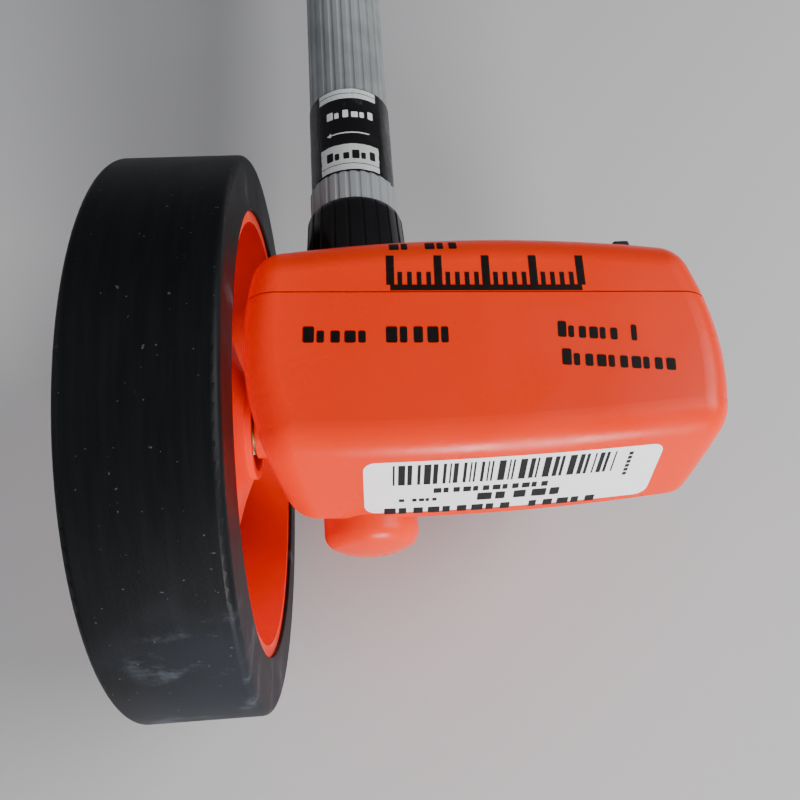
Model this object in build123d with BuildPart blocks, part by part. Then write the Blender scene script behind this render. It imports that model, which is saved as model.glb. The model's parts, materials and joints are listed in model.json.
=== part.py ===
"""Compact measuring wheel with a telescopic handle and a five-digit counter.

Millimetres.  The tool lies with its wheel on the ground and its handle level.
Origin: where the middle of the tyre touches the ground.
+X along the wheel's axle towards the housing, +Y along the handle towards the grip, +Z up.
"""
from build123d import *
import os
from math import atan, cos, pi, sin, tan

# ---- wheel ---------------------------------------------------------------------------------
WHEEL_CIRCUMFERENCE = 500.0          # one turn of the wheel is five decimetres
WHEEL_R = WHEEL_CIRCUMFERENCE / (2 * pi)
AXLE_Z = WHEEL_R                     # height of the axle above the ground
TYRE_W = 32.7
TYRE_INNER_R = WHEEL_R - 14.5
TYRE_EDGE_R = 1.8
RIM_W = 30.4
RIM_T = 3.2
BAND_R = TYRE_INNER_R - RIM_T
WEB_T = 3.2
WEB_LINE = ((11.0, 13.6), (7.0, 23.0), (1.5, 40.0), (-5.0, BAND_R + 1))   # bell shape, as X and radius
HUB_R = 14.5
HUB_X0, HUB_X1 = -9.0, 12.5
HUB_SEAT_X = 10.7                    # the hub's inner ring, where the thrust washer runs
CORE_X0, CORE_R0, CORE_R1 = -5.0, 7.6, 12.0   # ring-shaped hollow in the hub
RIB_COUNT = 8
RIB_T = 2.4
RIB_EDGE = ((-7.5, 13.5), (-8.0, 30.0), (-12.0, BAND_R + 1))
CAP_R, CAP_T, CAP_RISE = 13.0, 5.8, 3.4
CLIP_R, CLIP_T = 5.2, 0.8
AXLE_R = 3.0
AXLE_X0, AXLE_X1 = -12.4, 70.6
RUN = 0.05                           # radial clearance of a turning fit
WASHER_R, WASHER_T = 7.0, 0.9
BUSH_R, BUSH_L = 5.0, 8.0
FLANGE_T = 0.8

# ---- housing -------------------------------------------------------------------------------
WALL = 2.4
BOSS_X, BOSS_R = 12.7, 8.2           # raised face round the axle's outer bearing
HOUSING_HALF = 40.0                  # half depth, front to back
SECTION_X0, SECTION_X1 = 5.0, 150.0  # the sections run past the housing's ends, which are cut round
SECTIONS = (                         # share of the way, top, front face's lower edge, keel
    (0.0, 39.3, -17.0, -28.0),
    (0.45, 44.0, -19.0, -31.3),
    (1.0, 36.0, -15.0, -26.5),
)
BACK_BOTTOM = -14.0                  # lower edge of the back face
KEEL_DZ = 12.0                       # the keel lies in front of the axle
LEFT_END = (13.2, 14.0, 82.0)        # outermost X of the end face, the Y where it lies, and the radius
RIGHT_END = (143.6, 6.0, 75.0)
TOP_R, FRONT_R, KEEL_R, BACK_R, END_R = 10.5, 10.0, 30.0, 12.0, 9.0
HOUSING_LOW, HOUSING_HIGH = -34.0, 46.0
SEAM_Y = 24.3                        # at the handle
SEAM_TILT = 2.5                      # the parting line drops towards the far end, degrees
SEAM_GAP = 0.35
LIP_T = 1.3
LIP_DEPTH = 2.4
SOCKET_TOP = 18.0
POST_TOP = 17.0
SCREW_SPOTS = ((24.5, -22.0), (128.0, -26.0), (128.0, -2.0))
SCREW_R, SCREW_HEAD_R, SCREW_HEAD_T = 1.5, 3.0, 2.2
SCREW_SEAT = 8.0
SCREW_LENGTH = 19.0
POST_R, COVER_POST_R = 4.8, 4.2

# ---- handle --------------------------------------------------------------------------------
HANDLE_X = 45.55
TUBE_R = (14.0, 12.2, 10.4, 8.6)     # from the housing to the grip
TUBE_T = 1.0
TUBE_Y0 = (5.0, 26.0, 44.0, 62.0)
TUBE_Y1 = (232.0, 242.0, 252.0, 352.0)
TUBE_NAMES = ("lower_tube", "second_tube", "third_tube", "upper_tube")
FLUTE_COUNT = 26
FLUTE_R = 1.25
FLUTE_DEPTH = 0.45
SOCKET_R = 17.0
INNER_BUSH_X = HANDLE_X + SOCKET_R - 7
KNOB_ROOT = -22.0                    # the knob starts inside the socket
PIN_Y, PIN_R = 10.0, 1.6
KNOB_R = 13.7
KNOB_Y = -39.6
KNOB_RISE = 4.0
KNOB_EDGE_R = 5.0
COLLAR_R, COLLAR_TOP_R = 17.6, 16.1  # the collar narrows towards the grip
COLLAR_TAPER_Y = 45.0
COLLAR_Y1 = 73.0
COLLAR_SHOULDER = 3.2
COLLAR_GROOVES, GROOVE_R, GROOVE_DEPTH = 22, 0.8, 0.45
GROOVE_RUN_OUT = 7.0
FERRULE_R = 14.8
FERRULE_Y1 = 83.0
LABEL_Y0, LABEL_Y1 = 84.0, 118.0
LABEL_T = 0.3
GRIP_Y0, GRIP_R = 257.0, 15.0
CAP_EDGE, CAP_Y1 = 3.0, 365.4        # straight part above the grip, and the top of the dome
TONGUE_T = 10.0
LANYARD_R = 2.5

# ---- counter -------------------------------------------------------------------------------
MODULE = 0.75
PINION_TEETH, COUNTER_TEETH = 20, 40
COUNTER_Y = MODULE * (PINION_TEETH + COUNTER_TEETH) / 2
GEAR_X0, GEAR_FACE = 64.6, 5.0
PLATE_T = 1.2
FRAME_X0, FRAME_X1 = 71.0, 116.4
FRAME_Y0, FRAME_Y1 = 6.5, 35.9
FRAME_BASE_T = 1.4
DRUM_R, DRUM_W, DRUM_PITCH, DRUM_X0, DRUM_COUNT = 12.0, 6.0, 8.6, 73.6, 5
SHAFT_R = 1.8
CARRY_MODULE, RING_TEETH, TRANSFER_TEETH = 1.0, 20, 8
TRANSFER_Z = AXLE_Z - CARRY_MODULE * (RING_TEETH + TRANSFER_TEETH) / 2
TRANSFER_R = 1.1
POST_XS = (DRUM_X0 + DRUM_W + 1.3, DRUM_X0 + 3 * DRUM_PITCH + DRUM_W + 1.3)
FRAME_POST_R, FRAME_SCREW_R = 3.6, 1.2

# ---- window and reset ----------------------------------------------------------------------
WINDOW_X0, WINDOW_X1, WINDOW_HALF = 72.6, 115.0, 6.0
BEZEL_RIM = 3.4
LAND_Y, LAND_T = 42.6, 3.7           # flat seat of the counter's bezel, let into the arched top
SKIRT_DEPTH = 5.7
LENS_T = 1.6
LENS_LEDGE = 1.2
BUTTON_X, BUTTON_DZ = 122.6, 27.0
BUTTON_W, BUTTON_L, BUTTON_TOP = 5.0, 9.0, 42.8
TAB_Y0, TAB_T = 24.5, 1.6
SPRING_POST_R, SPRING_BORE_R, SPRING_BORE_DEPTH = 3.9, 2.9, 8.0
SPRING_POST_TOP = TAB_Y0 - 10.0
BAR_Z = AXLE_Z + 16.6

AXLE = Axis((0, 0, AXLE_Z), (1, 0, 0))
HANDLE = Axis((HANDLE_X, 0, AXLE_Z), (0, 1, 0))

os.makedirs("parts", exist_ok=True)


def save(part, label):
    """Label a finished piece and write its file."""
    part.label = label
    export_step(part, f"parts/{label}.step")


def square_to_axle(x, y=0.0, z=AXLE_Z):
    """Plane across the axle, facing +X: local x runs along +Y and local y along +Z."""
    return Plane(origin=(x, y, z), x_dir=(0, 1, 0), z_dir=(1, 0, 0))


def square_to_handle(y, x=HANDLE_X, z=AXLE_Z):
    """Plane across the handle, facing +Y: local x runs along +X and local y along -Z."""
    return Plane(origin=(x, y, z), x_dir=(1, 0, 0), z_dir=(0, 1, 0))


def axle_profile(turn=0.0):
    """Plane through the axle: local x along +X, local y outwards; turn swings it about the axle."""
    return Plane(origin=(0, 0, AXLE_Z), x_dir=(1, 0, 0), z_dir=(0, -cos(turn), -sin(turn)))


def handle_profile():
    """Plane through the handle: local x outwards from its axis, local y along +Y."""
    return Plane(origin=(HANDLE_X, 0, AXLE_Z), x_dir=(1, 0, 0), z_dir=(0, 0, 1))


def gear_points(teeth, module, phase=0.0):
    """Corners of a gear with straight-sided teeth; phase turns it, in tooth pitches."""
    pitch_r = module * teeth / 2
    tip_r, root_r = pitch_r + 0.8 * module, pitch_r - 1.1 * module
    half_tooth = ((-0.29, root_r), (-0.19, pitch_r), (-0.09, tip_r))
    flank = half_tooth + tuple((-share, r) for share, r in reversed(half_tooth))
    turns = [((tooth + phase + share) * 2 * pi / teeth, r) for tooth in range(teeth) for share, r in flank]
    return [(r * cos(angle), r * sin(angle)) for angle, r in turns]


def dome_point(r, rise):
    """How far a shallow round cap of the given rise has dropped at half of its radius."""
    ball_r = (r ** 2 + rise ** 2) / (2 * rise)
    return ball_r - (ball_r ** 2 - r ** 2 / 4) ** 0.5


def round_bar(x0, x1, r, y=0.0, z=AXLE_Z):
    """Solid shaft along X with small bevels on its ends."""
    bevel = 0.15 * r
    with BuildPart() as bar:
        with BuildSketch(square_to_axle(x0, y, z)):
            Circle(r)
        extrude(amount=x1 - x0)
        chamfer(bar.edges(), bevel)
    return bar.part


def ring_along_x(x0, x1, outer, inner, y=0.0, z=AXLE_Z):
    """Plain ring about an axis along X."""
    with BuildPart() as ring:
        with BuildSketch(square_to_axle(x0, y, z)):
            Circle(outer)
            Circle(inner, mode=Mode.SUBTRACT)
        extrude(amount=x1 - x0)
    return ring.part


def ring_along_y(y0, y1, outer, inner):
    """Plain ring about the handle's axis."""
    with BuildPart() as ring:
        with BuildSketch(square_to_handle(y0)):
            Circle(outer)
            Circle(inner, mode=Mode.SUBTRACT)
        extrude(amount=y1 - y0)
    return ring.part


# ---- the wheel's pieces --------------------------------------------------------------------
with BuildPart() as tyre:
    with BuildSketch(axle_profile()) as tyre_section:
        with Locations((0, (WHEEL_R + TYRE_INNER_R) / 2)):
            Rectangle(TYRE_W, WHEEL_R - TYRE_INNER_R)
        fillet(tyre_section.vertices().group_by(Axis.Y)[-1], TYRE_EDGE_R)
        fillet(tyre_section.vertices().group_by(Axis.Y)[0], 0.5)
    revolve(axis=AXLE)
save(tyre.part, "tyre")

with BuildPart() as wheel_rim:
    with BuildSketch(axle_profile()):
        with Locations((0, TYRE_INNER_R - RIM_T / 2)):
            Rectangle(RIM_W, RIM_T)
        with BuildLine():
            Polyline(*WEB_LINE, *[(x - WEB_T, r) for x, r in reversed(WEB_LINE)], close=True)
        make_face()
        with BuildLine():
            Polyline((HUB_X0, AXLE_R), (HUB_SEAT_X, AXLE_R), (HUB_SEAT_X, CORE_R0), (CORE_X0, CORE_R0),
                     (CORE_X0, CORE_R1), (HUB_X1, CORE_R1), (HUB_X1, HUB_R), (HUB_X0, HUB_R), close=True)
        make_face()
    revolve(axis=AXLE)
    for rib in range(RIB_COUNT):
        with BuildSketch(axle_profile(2 * pi * (rib + 0.5) / RIB_COUNT)):
            with BuildLine():
                Polyline(*RIB_EDGE, *[(x - WEB_T / 2, r) for x, r in reversed(WEB_LINE)], close=True)
            make_face()
        extrude(amount=RIB_T / 2, both=True)
save(wheel_rim.part, "wheel_rim")

save(round_bar(AXLE_X0, AXLE_X1, AXLE_R), "axle")
save(ring_along_x(HUB_SEAT_X, HUB_SEAT_X + WASHER_T, WASHER_R, AXLE_R), "thrust_washer")

CAP_EDGE_X = HUB_X0 - CAP_T + CAP_RISE
with BuildPart() as hub_cap:
    with BuildSketch(axle_profile()):
        with BuildLine():
            Polyline((HUB_X0 - CAP_T, 0), (HUB_X0, 0), (HUB_X0, CAP_R), (CAP_EDGE_X, CAP_R))
            ThreePointArc((CAP_EDGE_X, CAP_R), (HUB_X0 - CAP_T + dome_point(CAP_R, CAP_RISE), CAP_R / 2),
                          (HUB_X0 - CAP_T, 0))
        make_face()
    revolve(axis=AXLE)
    with BuildSketch(square_to_axle(AXLE_X0)):
        Circle(AXLE_R)
    extrude(amount=HUB_X0 - AXLE_X0, mode=Mode.SUBTRACT)
save(hub_cap.part, "hub_cap")

with BuildPart() as drive_pinion:
    with BuildSketch(square_to_axle(GEAR_X0)):
        Polygon(*gear_points(PINION_TEETH, MODULE), align=None)
        Circle(AXLE_R, mode=Mode.SUBTRACT)
    extrude(amount=GEAR_FACE)
save(drive_pinion.part, "drive_pinion")

with BuildPart() as axle_clip:
    with BuildSketch(square_to_axle(GEAR_X0 + GEAR_FACE)):
        Circle(CLIP_R)
        Circle(AXLE_R, mode=Mode.SUBTRACT)
        with Locations((0, -5.0)):
            Rectangle(3.0, 8.0, mode=Mode.SUBTRACT)
    extrude(amount=CLIP_T)
save(axle_clip.part, "axle_clip")


# ---- the housing's pieces ------------------------------------------------------------------
def corner_shift(inset, run, rise):
    """How far a corner between an upright face and a slope moves along Y when both move inwards."""
    slant = (run ** 2 + rise ** 2) ** 0.5
    return inset * (slant - rise) / run


def housing_form(inset):
    """The housing's outer form with every face moved in: arched top, sloping bottom, round ends."""
    half = HOUSING_HALF - inset
    with BuildPart() as form:
        for share, top, front, keel in SECTIONS:
            front_bottom = front + corner_shift(inset, HOUSING_HALF - KEEL_DZ, front - keel)
            back_bottom = BACK_BOTTOM + corner_shift(inset, HOUSING_HALF + KEEL_DZ, BACK_BOTTOM - keel)
            bottom = keel + inset * 1.05
            with BuildSketch(square_to_axle(SECTION_X0 + share * (SECTION_X1 - SECTION_X0))) as section:
                with BuildLine():
                    Polyline((top - inset, half), (front_bottom, half), (bottom, KEEL_DZ), (back_bottom, -half),
                             (top - inset, -half), close=True)
                make_face()
                fillet([v for v in section.vertices() if v.Y > 20], TOP_R - inset)
                fillet([v for v in section.vertices() if abs(v.Y - front_bottom) < 0.01], FRONT_R - inset)
                fillet([v for v in section.vertices() if abs(v.Y - back_bottom) < 0.01], BACK_R - inset)
                fillet([v for v in section.vertices() if abs(v.Y - bottom) < 0.01], KEEL_R - inset)
        loft()
        with BuildSketch(Plane.XY):
            with Locations((LEFT_END[0] + LEFT_END[2], LEFT_END[1])):
                Circle(LEFT_END[2] - inset)
            with Locations((RIGHT_END[0] - RIGHT_END[2], RIGHT_END[1])):
                Circle(RIGHT_END[2] - inset, mode=Mode.INTERSECT)
        extrude(amount=2 * AXLE_Z, mode=Mode.INTERSECT)
        ends = form.faces().sort_by(Axis.X)
        fillet(ends[0].edges() + ends[-1].edges(), END_R - inset)
    return form.part


def seam_plane(y):
    """Plane along the parting line that crosses the handle's axis at the given Y."""
    tilt = SEAM_TILT * pi / 180
    along, across = (cos(tilt), -sin(tilt), 0), (sin(tilt), cos(tilt), 0)
    return Plane(origin=(HANDLE_X, y, AXLE_Z), x_dir=along, z_dir=across)


def slab(y0, y1):
    """Block wider than the housing between two heights, along the parting line."""
    with BuildPart() as block:
        with BuildSketch(seam_plane(y0)):
            Rectangle(260, 120)
        extrude(amount=y1 - y0)
    return block.part


outer_form = housing_form(0)
inner_form = housing_form(WALL)
lip_form = housing_form(WALL + LIP_T)

with BuildPart() as housing_body:
    with BuildSketch(square_to_handle(HOUSING_LOW)):
        Circle(SOCKET_R)
    extrude(amount=SOCKET_TOP - HOUSING_LOW)
    with BuildSketch(square_to_handle(HOUSING_LOW)):
        for x, dz in SCREW_SPOTS:
            with Locations((x - HANDLE_X, -dz)):
                Circle(POST_R)
    extrude(amount=POST_TOP - HOUSING_LOW)
    with BuildSketch(square_to_handle(HOUSING_LOW)):
        for x in POST_XS:
            with Locations((x - HANDLE_X, 0)):
                Circle(FRAME_POST_R)
    extrude(amount=FRAME_Y0 - HOUSING_LOW)
    with BuildSketch(square_to_handle(HOUSING_LOW, BUTTON_X, AXLE_Z + BUTTON_DZ)):
        Circle(SPRING_POST_R)
    extrude(amount=SPRING_POST_TOP - HOUSING_LOW)
    add(outer_form, mode=Mode.INTERSECT)
    add(outer_form - inner_form)
    add(slab(SEAM_Y, SEAM_Y + 60), mode=Mode.SUBTRACT)
    with BuildSketch(square_to_axle(BOSS_X)):
        Circle(BOSS_R)
    extrude(amount=BUSH_L)
    with BuildSketch(handle_profile()):
        with BuildLine():
            Polyline((0, KNOB_ROOT), (KNOB_R, KNOB_ROOT), (KNOB_R, KNOB_Y + KNOB_RISE))
            ThreePointArc((KNOB_R, KNOB_Y + KNOB_RISE), (KNOB_R / 2, KNOB_Y + dome_point(KNOB_R, KNOB_RISE)),
                          (0, KNOB_Y))
            Line((0, KNOB_Y), (0, KNOB_ROOT))
        make_face()
    revolve(axis=HANDLE)
    rim_edges = housing_body.edges().filter_by(GeomType.CIRCLE)
    fillet([e for e in rim_edges if abs(e.center().Y - KNOB_Y - KNOB_RISE) < 0.1], KNOB_EDGE_R)
    with BuildSketch(square_to_handle(TUBE_Y0[0])):
        Circle(TUBE_R[0])
    extrude(amount=40, mode=Mode.SUBTRACT)
    with BuildSketch(square_to_axle(BOSS_X - 1)):
        Circle(AXLE_R + 0.5)
    extrude(amount=60, mode=Mode.SUBTRACT)
    for x in (BOSS_X - 1, INNER_BUSH_X):
        with BuildSketch(square_to_axle(x)):
            Circle(BUSH_R)
        extrude(amount=BUSH_L + 1, mode=Mode.SUBTRACT)
    with BuildSketch(Plane.XY.offset(AXLE_Z - SOCKET_R)):
        with Locations((HANDLE_X, PIN_Y)):
            Circle(PIN_R)
    extrude(amount=2 * SOCKET_R, mode=Mode.SUBTRACT)
    for x, dz in SCREW_SPOTS:
        with BuildSketch(square_to_handle(HOUSING_LOW, x, AXLE_Z + dz)):
            Circle(SCREW_HEAD_R + 0.4)
        extrude(amount=SCREW_SEAT - HOUSING_LOW, mode=Mode.SUBTRACT)
        with BuildSketch(square_to_handle(SCREW_SEAT, x, AXLE_Z + dz)):
            Circle(SCREW_R)
        extrude(amount=30, mode=Mode.SUBTRACT)
    for x in POST_XS:
        with BuildSketch(square_to_handle(FRAME_Y0 - 8, x)):
            Circle(FRAME_SCREW_R)
        extrude(amount=8, mode=Mode.SUBTRACT)
    with BuildSketch(square_to_handle(SPRING_POST_TOP - SPRING_BORE_DEPTH, BUTTON_X, AXLE_Z + BUTTON_DZ)):
        Circle(SPRING_BORE_R)
    extrude(amount=SPRING_BORE_DEPTH, mode=Mode.SUBTRACT)
save(housing_body.part, "housing_body")

WINDOW_X, WINDOW_L = (WINDOW_X0 + WINDOW_X1) / 2, WINDOW_X1 - WINDOW_X0
with BuildPart() as housing_cover:
    with BuildSketch(square_to_handle(POST_TOP)):
        for x, dz in SCREW_SPOTS:
            with Locations((x - HANDLE_X, -dz)):
                Circle(COVER_POST_R)
    extrude(amount=HOUSING_HIGH - POST_TOP)
    add(outer_form, mode=Mode.INTERSECT)
    add((outer_form - inner_form) - slab(-60, SEAM_Y + SEAM_GAP))
    add((inner_form - lip_form) & slab(SEAM_Y - LIP_DEPTH, SEAM_Y + 3))
    with BuildSketch(square_to_handle(LAND_Y - LAND_T, WINDOW_X)):
        RectangleRounded(WINDOW_L + 2 * BEZEL_RIM + 2, 2 * (WINDOW_HALF + BEZEL_RIM) + 2, 2.5)
    extrude(amount=LAND_T)
    with BuildSketch(square_to_handle(LAND_Y, WINDOW_X)):
        RectangleRounded(WINDOW_L + 2 * BEZEL_RIM + 0.6, 2 * (WINDOW_HALF + BEZEL_RIM) + 0.6, 2.3)
    extrude(amount=6, mode=Mode.SUBTRACT)
    with BuildSketch(square_to_handle(20, WINDOW_X)):
        Rectangle(WINDOW_L + 2.4, 2 * WINDOW_HALF + 2.4)
    extrude(amount=30, mode=Mode.SUBTRACT)
    with BuildSketch(square_to_handle(20)):
        Circle(COLLAR_R + 0.3)
    extrude(amount=30, mode=Mode.SUBTRACT)
    with BuildSketch(square_to_handle(26, BUTTON_X, AXLE_Z + BUTTON_DZ)):
        Rectangle(BUTTON_W + 0.8, BUTTON_L + 0.8)
    extrude(amount=20, mode=Mode.SUBTRACT)
    for x, dz in SCREW_SPOTS:
        with BuildSketch(square_to_handle(POST_TOP, x, AXLE_Z + dz)):
            Circle(SCREW_R)
        extrude(amount=SCREW_SEAT + SCREW_LENGTH - POST_TOP + 1, mode=Mode.SUBTRACT)
save(housing_cover.part, "housing_cover")


def bush(x0, length, flange_x=None):
    """Plain bearing bush for the axle, with a flange on its outer end where one is given."""
    with BuildPart() as bearing:
        with BuildSketch(square_to_axle(x0)):
            Circle(BUSH_R)
        extrude(amount=length)
        if flange_x is not None:
            with BuildSketch(square_to_axle(flange_x)):
                Circle(WASHER_R)
            extrude(amount=x0 - flange_x)
        with BuildSketch(square_to_axle(x0 - 5)):
            Circle(AXLE_R + RUN)
        extrude(amount=length + 10, mode=Mode.SUBTRACT)
    return bearing.part


save(bush(BOSS_X, BUSH_L, BOSS_X - FLANGE_T), "outer_bush")
save(bush(INNER_BUSH_X, BUSH_L), "inner_bush")


def screw_group(spots, seat_y, shank_r, head_r, head_t, length, head_below):
    """Several identical cross-head screws along the handle's direction, one solid each."""
    turn = -1 if head_below else 1
    with BuildPart() as screws:
        for x, dz in spots:
            with BuildSketch(square_to_handle(seat_y, x, AXLE_Z + dz)):
                Circle(head_r)
            extrude(amount=turn * head_t)
            with BuildSketch(square_to_handle(seat_y, x, AXLE_Z + dz)):
                Circle(shank_r)
            extrude(amount=-turn * length)
            with BuildSketch(square_to_handle(seat_y + turn * head_t, x, AXLE_Z + dz)):
                Rectangle(head_r * 1.2, head_r * 0.25)
                Rectangle(head_r * 0.25, head_r * 1.2)
            extrude(amount=-turn * head_t * 0.5, mode=Mode.SUBTRACT)
    return screws.part


save(screw_group(SCREW_SPOTS, SCREW_SEAT, SCREW_R, SCREW_HEAD_R, SCREW_HEAD_T, SCREW_LENGTH, True),
     "housing_screws")
FRAME_HEAD_R, FRAME_HEAD_T, FRAME_SCREW_L = 2.6, 1.5, 8.5
save(screw_group([(x, 0) for x in POST_XS], FRAME_Y0 + FRAME_BASE_T, FRAME_SCREW_R, FRAME_HEAD_R,
                 FRAME_HEAD_T, FRAME_SCREW_L, False), "counter_screws")

with BuildPart() as counter_bezel:
    with BuildSketch(square_to_handle(LAND_Y, WINDOW_X)) as flange:
        RectangleRounded(WINDOW_L + 2 * BEZEL_RIM, 2 * (WINDOW_HALF + BEZEL_RIM), 2.0)
    extrude(amount=2.2)
    fillet(counter_bezel.faces().sort_by(Axis.Y)[-1].edges(), 0.8)
    with BuildSketch(square_to_handle(LAND_Y - SKIRT_DEPTH, WINDOW_X)):
        Rectangle(WINDOW_L + 2.4, 2 * WINDOW_HALF + 2.4)
    extrude(amount=SKIRT_DEPTH)
    with BuildSketch(square_to_handle(LAND_Y - SKIRT_DEPTH, WINDOW_X)):
        Rectangle(WINDOW_L, 2 * WINDOW_HALF)
    extrude(amount=SKIRT_DEPTH + 5, mode=Mode.SUBTRACT)
    with BuildSketch(square_to_handle(LAND_Y, WINDOW_X)):
        Rectangle(WINDOW_L + LENS_LEDGE, 2 * WINDOW_HALF + LENS_LEDGE)
    extrude(amount=LENS_T, mode=Mode.SUBTRACT)
save(counter_bezel.part, "counter_bezel")

with BuildPart() as counter_lens:
    with BuildSketch(square_to_handle(LAND_Y, WINDOW_X)):
        Rectangle(WINDOW_L + LENS_LEDGE, 2 * WINDOW_HALF + LENS_LEDGE)
    extrude(amount=LENS_T)
save(counter_lens.part, "counter_lens")

# ---- the reset button's pieces -------------------------------------------------------------
with BuildPart() as reset_button:
    with BuildSketch(square_to_handle(TAB_Y0 + TAB_T, BUTTON_X, AXLE_Z + BUTTON_DZ)):
        RectangleRounded(BUTTON_W, BUTTON_L, 1.0)
    extrude(amount=BUTTON_TOP - TAB_Y0 - TAB_T)
    fillet(reset_button.faces().sort_by(Axis.Y)[-1].edges(), 0.8)
save(reset_button.part, "reset_button")

BAR_X0 = DRUM_X0
BAR_W, BAR_DEPTH = 1.6, 6.5
LEG_W, LEG_H, LEG_T = 2.4, 3.2, 1.5     # one leg over each drum
with BuildPart() as reset_bar:
    with BuildSketch(square_to_handle(TAB_Y0, BUTTON_X, (BAR_Z + AXLE_Z + BUTTON_DZ + BUTTON_L / 2) / 2)):
        Rectangle(BUTTON_W, AXLE_Z + BUTTON_DZ + BUTTON_L / 2 - BAR_Z)
    extrude(amount=TAB_T)
    with BuildSketch(square_to_handle(TAB_Y0, (BAR_X0 + BUTTON_X + BUTTON_W / 2) / 2, BAR_Z + BAR_W / 2)):
        Rectangle(BUTTON_X + BUTTON_W / 2 - BAR_X0, BAR_W)
    extrude(amount=BAR_DEPTH)
    for drum in range(DRUM_COUNT):
        leg_x = DRUM_X0 + DRUM_W / 2 + drum * DRUM_PITCH
        with BuildSketch(square_to_handle(TAB_Y0 + BAR_DEPTH - LEG_T, leg_x, BAR_Z + 0.2 - LEG_H / 2)):
            Rectangle(LEG_W, LEG_H)
        extrude(amount=LEG_T)
save(reset_bar.part, "reset_bar")

SPRING_TURNS, SPRING_WIRE, SPRING_R = 6, 0.35, 2.1
SPRING_Y0 = TAB_Y0 - 13.6
with BuildPart() as reset_spring:
    with BuildLine():
        coil = Helix(pitch=(TAB_Y0 - SPRING_Y0 - 0.8) / SPRING_TURNS, height=TAB_Y0 - SPRING_Y0 - 0.8,
                     radius=SPRING_R, center=(BUTTON_X, SPRING_Y0 + 0.4, AXLE_Z + BUTTON_DZ),
                     direction=(0, 1, 0))
    with BuildSketch(Plane(origin=coil @ 0, z_dir=coil % 0)):
        Circle(SPRING_WIRE)
    sweep()
save(reset_spring.part, "reset_spring")

# ---- the counter's pieces ------------------------------------------------------------------
PLATE_Z0, PLATE_Z1 = AXLE_Z - 18.0, AXLE_Z + 13.5
FRAME_BASE_W = 14.0
SLEEVE_R, SLEEVE_HOLE_R = 3.5, 3.9      # the counter gear's sleeve and its hole in the frame
SMALL_CLIP_R, SMALL_CLIP_T = 3.1, 0.6
RING_FACE, SIDE_RING_R, SIDE_RING_T = 1.2, 8.6, 1.1
CARRY_BACK, CARRY_FACE = 2.3, 2.0       # the transfer pinion starts this far before its drum
with BuildPart() as counter_frame:
    for x in (FRAME_X0, FRAME_X1 - PLATE_T):
        with BuildSketch(square_to_axle(x, 0, 0)):
            with Locations(((FRAME_Y0 + FRAME_Y1) / 2, (PLATE_Z0 + PLATE_Z1) / 2)):
                RectangleRounded(FRAME_Y1 - FRAME_Y0, PLATE_Z1 - PLATE_Z0, 3.0)
        extrude(amount=PLATE_T)
    with BuildSketch(square_to_handle(FRAME_Y0, (FRAME_X0 + FRAME_X1) / 2)):
        Rectangle(FRAME_X1 - FRAME_X0, FRAME_BASE_W)
    extrude(amount=FRAME_BASE_T)
    with BuildSketch(square_to_axle(FRAME_X0 - 1, COUNTER_Y)):
        Circle(SLEEVE_HOLE_R)
    extrude(amount=PLATE_T + 2, mode=Mode.SUBTRACT)
    with BuildSketch(square_to_axle(FRAME_X0, COUNTER_Y)):
        Circle(SHAFT_R)
        with Locations((0, TRANSFER_Z - AXLE_Z)):
            Circle(TRANSFER_R)
    extrude(amount=FRAME_X1 - FRAME_X0, mode=Mode.SUBTRACT)
    for x in POST_XS:
        with BuildSketch(square_to_handle(FRAME_Y0, x)):
            Circle(FRAME_SCREW_R)
        extrude(amount=FRAME_BASE_T, mode=Mode.SUBTRACT)
save(counter_frame.part, "counter_frame")

save(round_bar(GEAR_X0 - 1.4, FRAME_X1 + 1.4, SHAFT_R, COUNTER_Y), "counter_shaft")
save(round_bar(FRAME_X0 - 0.6, FRAME_X1 + 0.6, TRANSFER_R, COUNTER_Y, TRANSFER_Z), "transfer_shaft")

with BuildPart() as shaft_clips:
    for x in (GEAR_X0 - 0.9, FRAME_X1 + 0.2):
        with BuildSketch(square_to_axle(x, COUNTER_Y)):
            Circle(SMALL_CLIP_R)
            Circle(SHAFT_R, mode=Mode.SUBTRACT)
            with Locations((0, -3.0)):
                Rectangle(2.0, 5.0, mode=Mode.SUBTRACT)
        extrude(amount=SMALL_CLIP_T)
save(shaft_clips.part, "shaft_clips")

with BuildPart() as counter_gear:
    with BuildSketch(square_to_axle(GEAR_X0, COUNTER_Y)):
        Polygon(*gear_points(COUNTER_TEETH, MODULE, phase=0.5), align=None)
    extrude(amount=GEAR_FACE)
    with BuildSketch(square_to_axle(GEAR_X0 + GEAR_FACE, COUNTER_Y)):
        Circle(SLEEVE_R)
    extrude(amount=DRUM_X0 - GEAR_X0 - GEAR_FACE)
    with BuildSketch(square_to_axle(GEAR_X0, COUNTER_Y)):
        Circle(SHAFT_R + RUN)
    extrude(amount=20, mode=Mode.SUBTRACT)
save(counter_gear.part, "counter_gear")

for drum in range(DRUM_COUNT):
    x0 = DRUM_X0 + drum * DRUM_PITCH
    with BuildPart() as digit_drum:
        with BuildSketch(square_to_axle(x0, COUNTER_Y)):
            Circle(DRUM_R)
        extrude(amount=DRUM_W)
        fillet(digit_drum.edges(), 0.3)
        if drum:
            with BuildSketch(square_to_axle(x0 - RING_FACE, COUNTER_Y)):
                Polygon(*gear_points(RING_TEETH, CARRY_MODULE, phase=0.5), align=None)
            extrude(amount=RING_FACE + 0.1)
        if drum < DRUM_COUNT - 1:
            with BuildSketch(square_to_axle(x0 + DRUM_W - 0.1, COUNTER_Y)):
                Circle(SIDE_RING_R)
            extrude(amount=SIDE_RING_T + 0.1)
        with BuildSketch(square_to_axle(x0 - 2, COUNTER_Y)):
            Circle(SHAFT_R + RUN)
        extrude(amount=DRUM_W + 4, mode=Mode.SUBTRACT)
    save(digit_drum.part, f"digit_drum_{drum + 1}")

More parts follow.
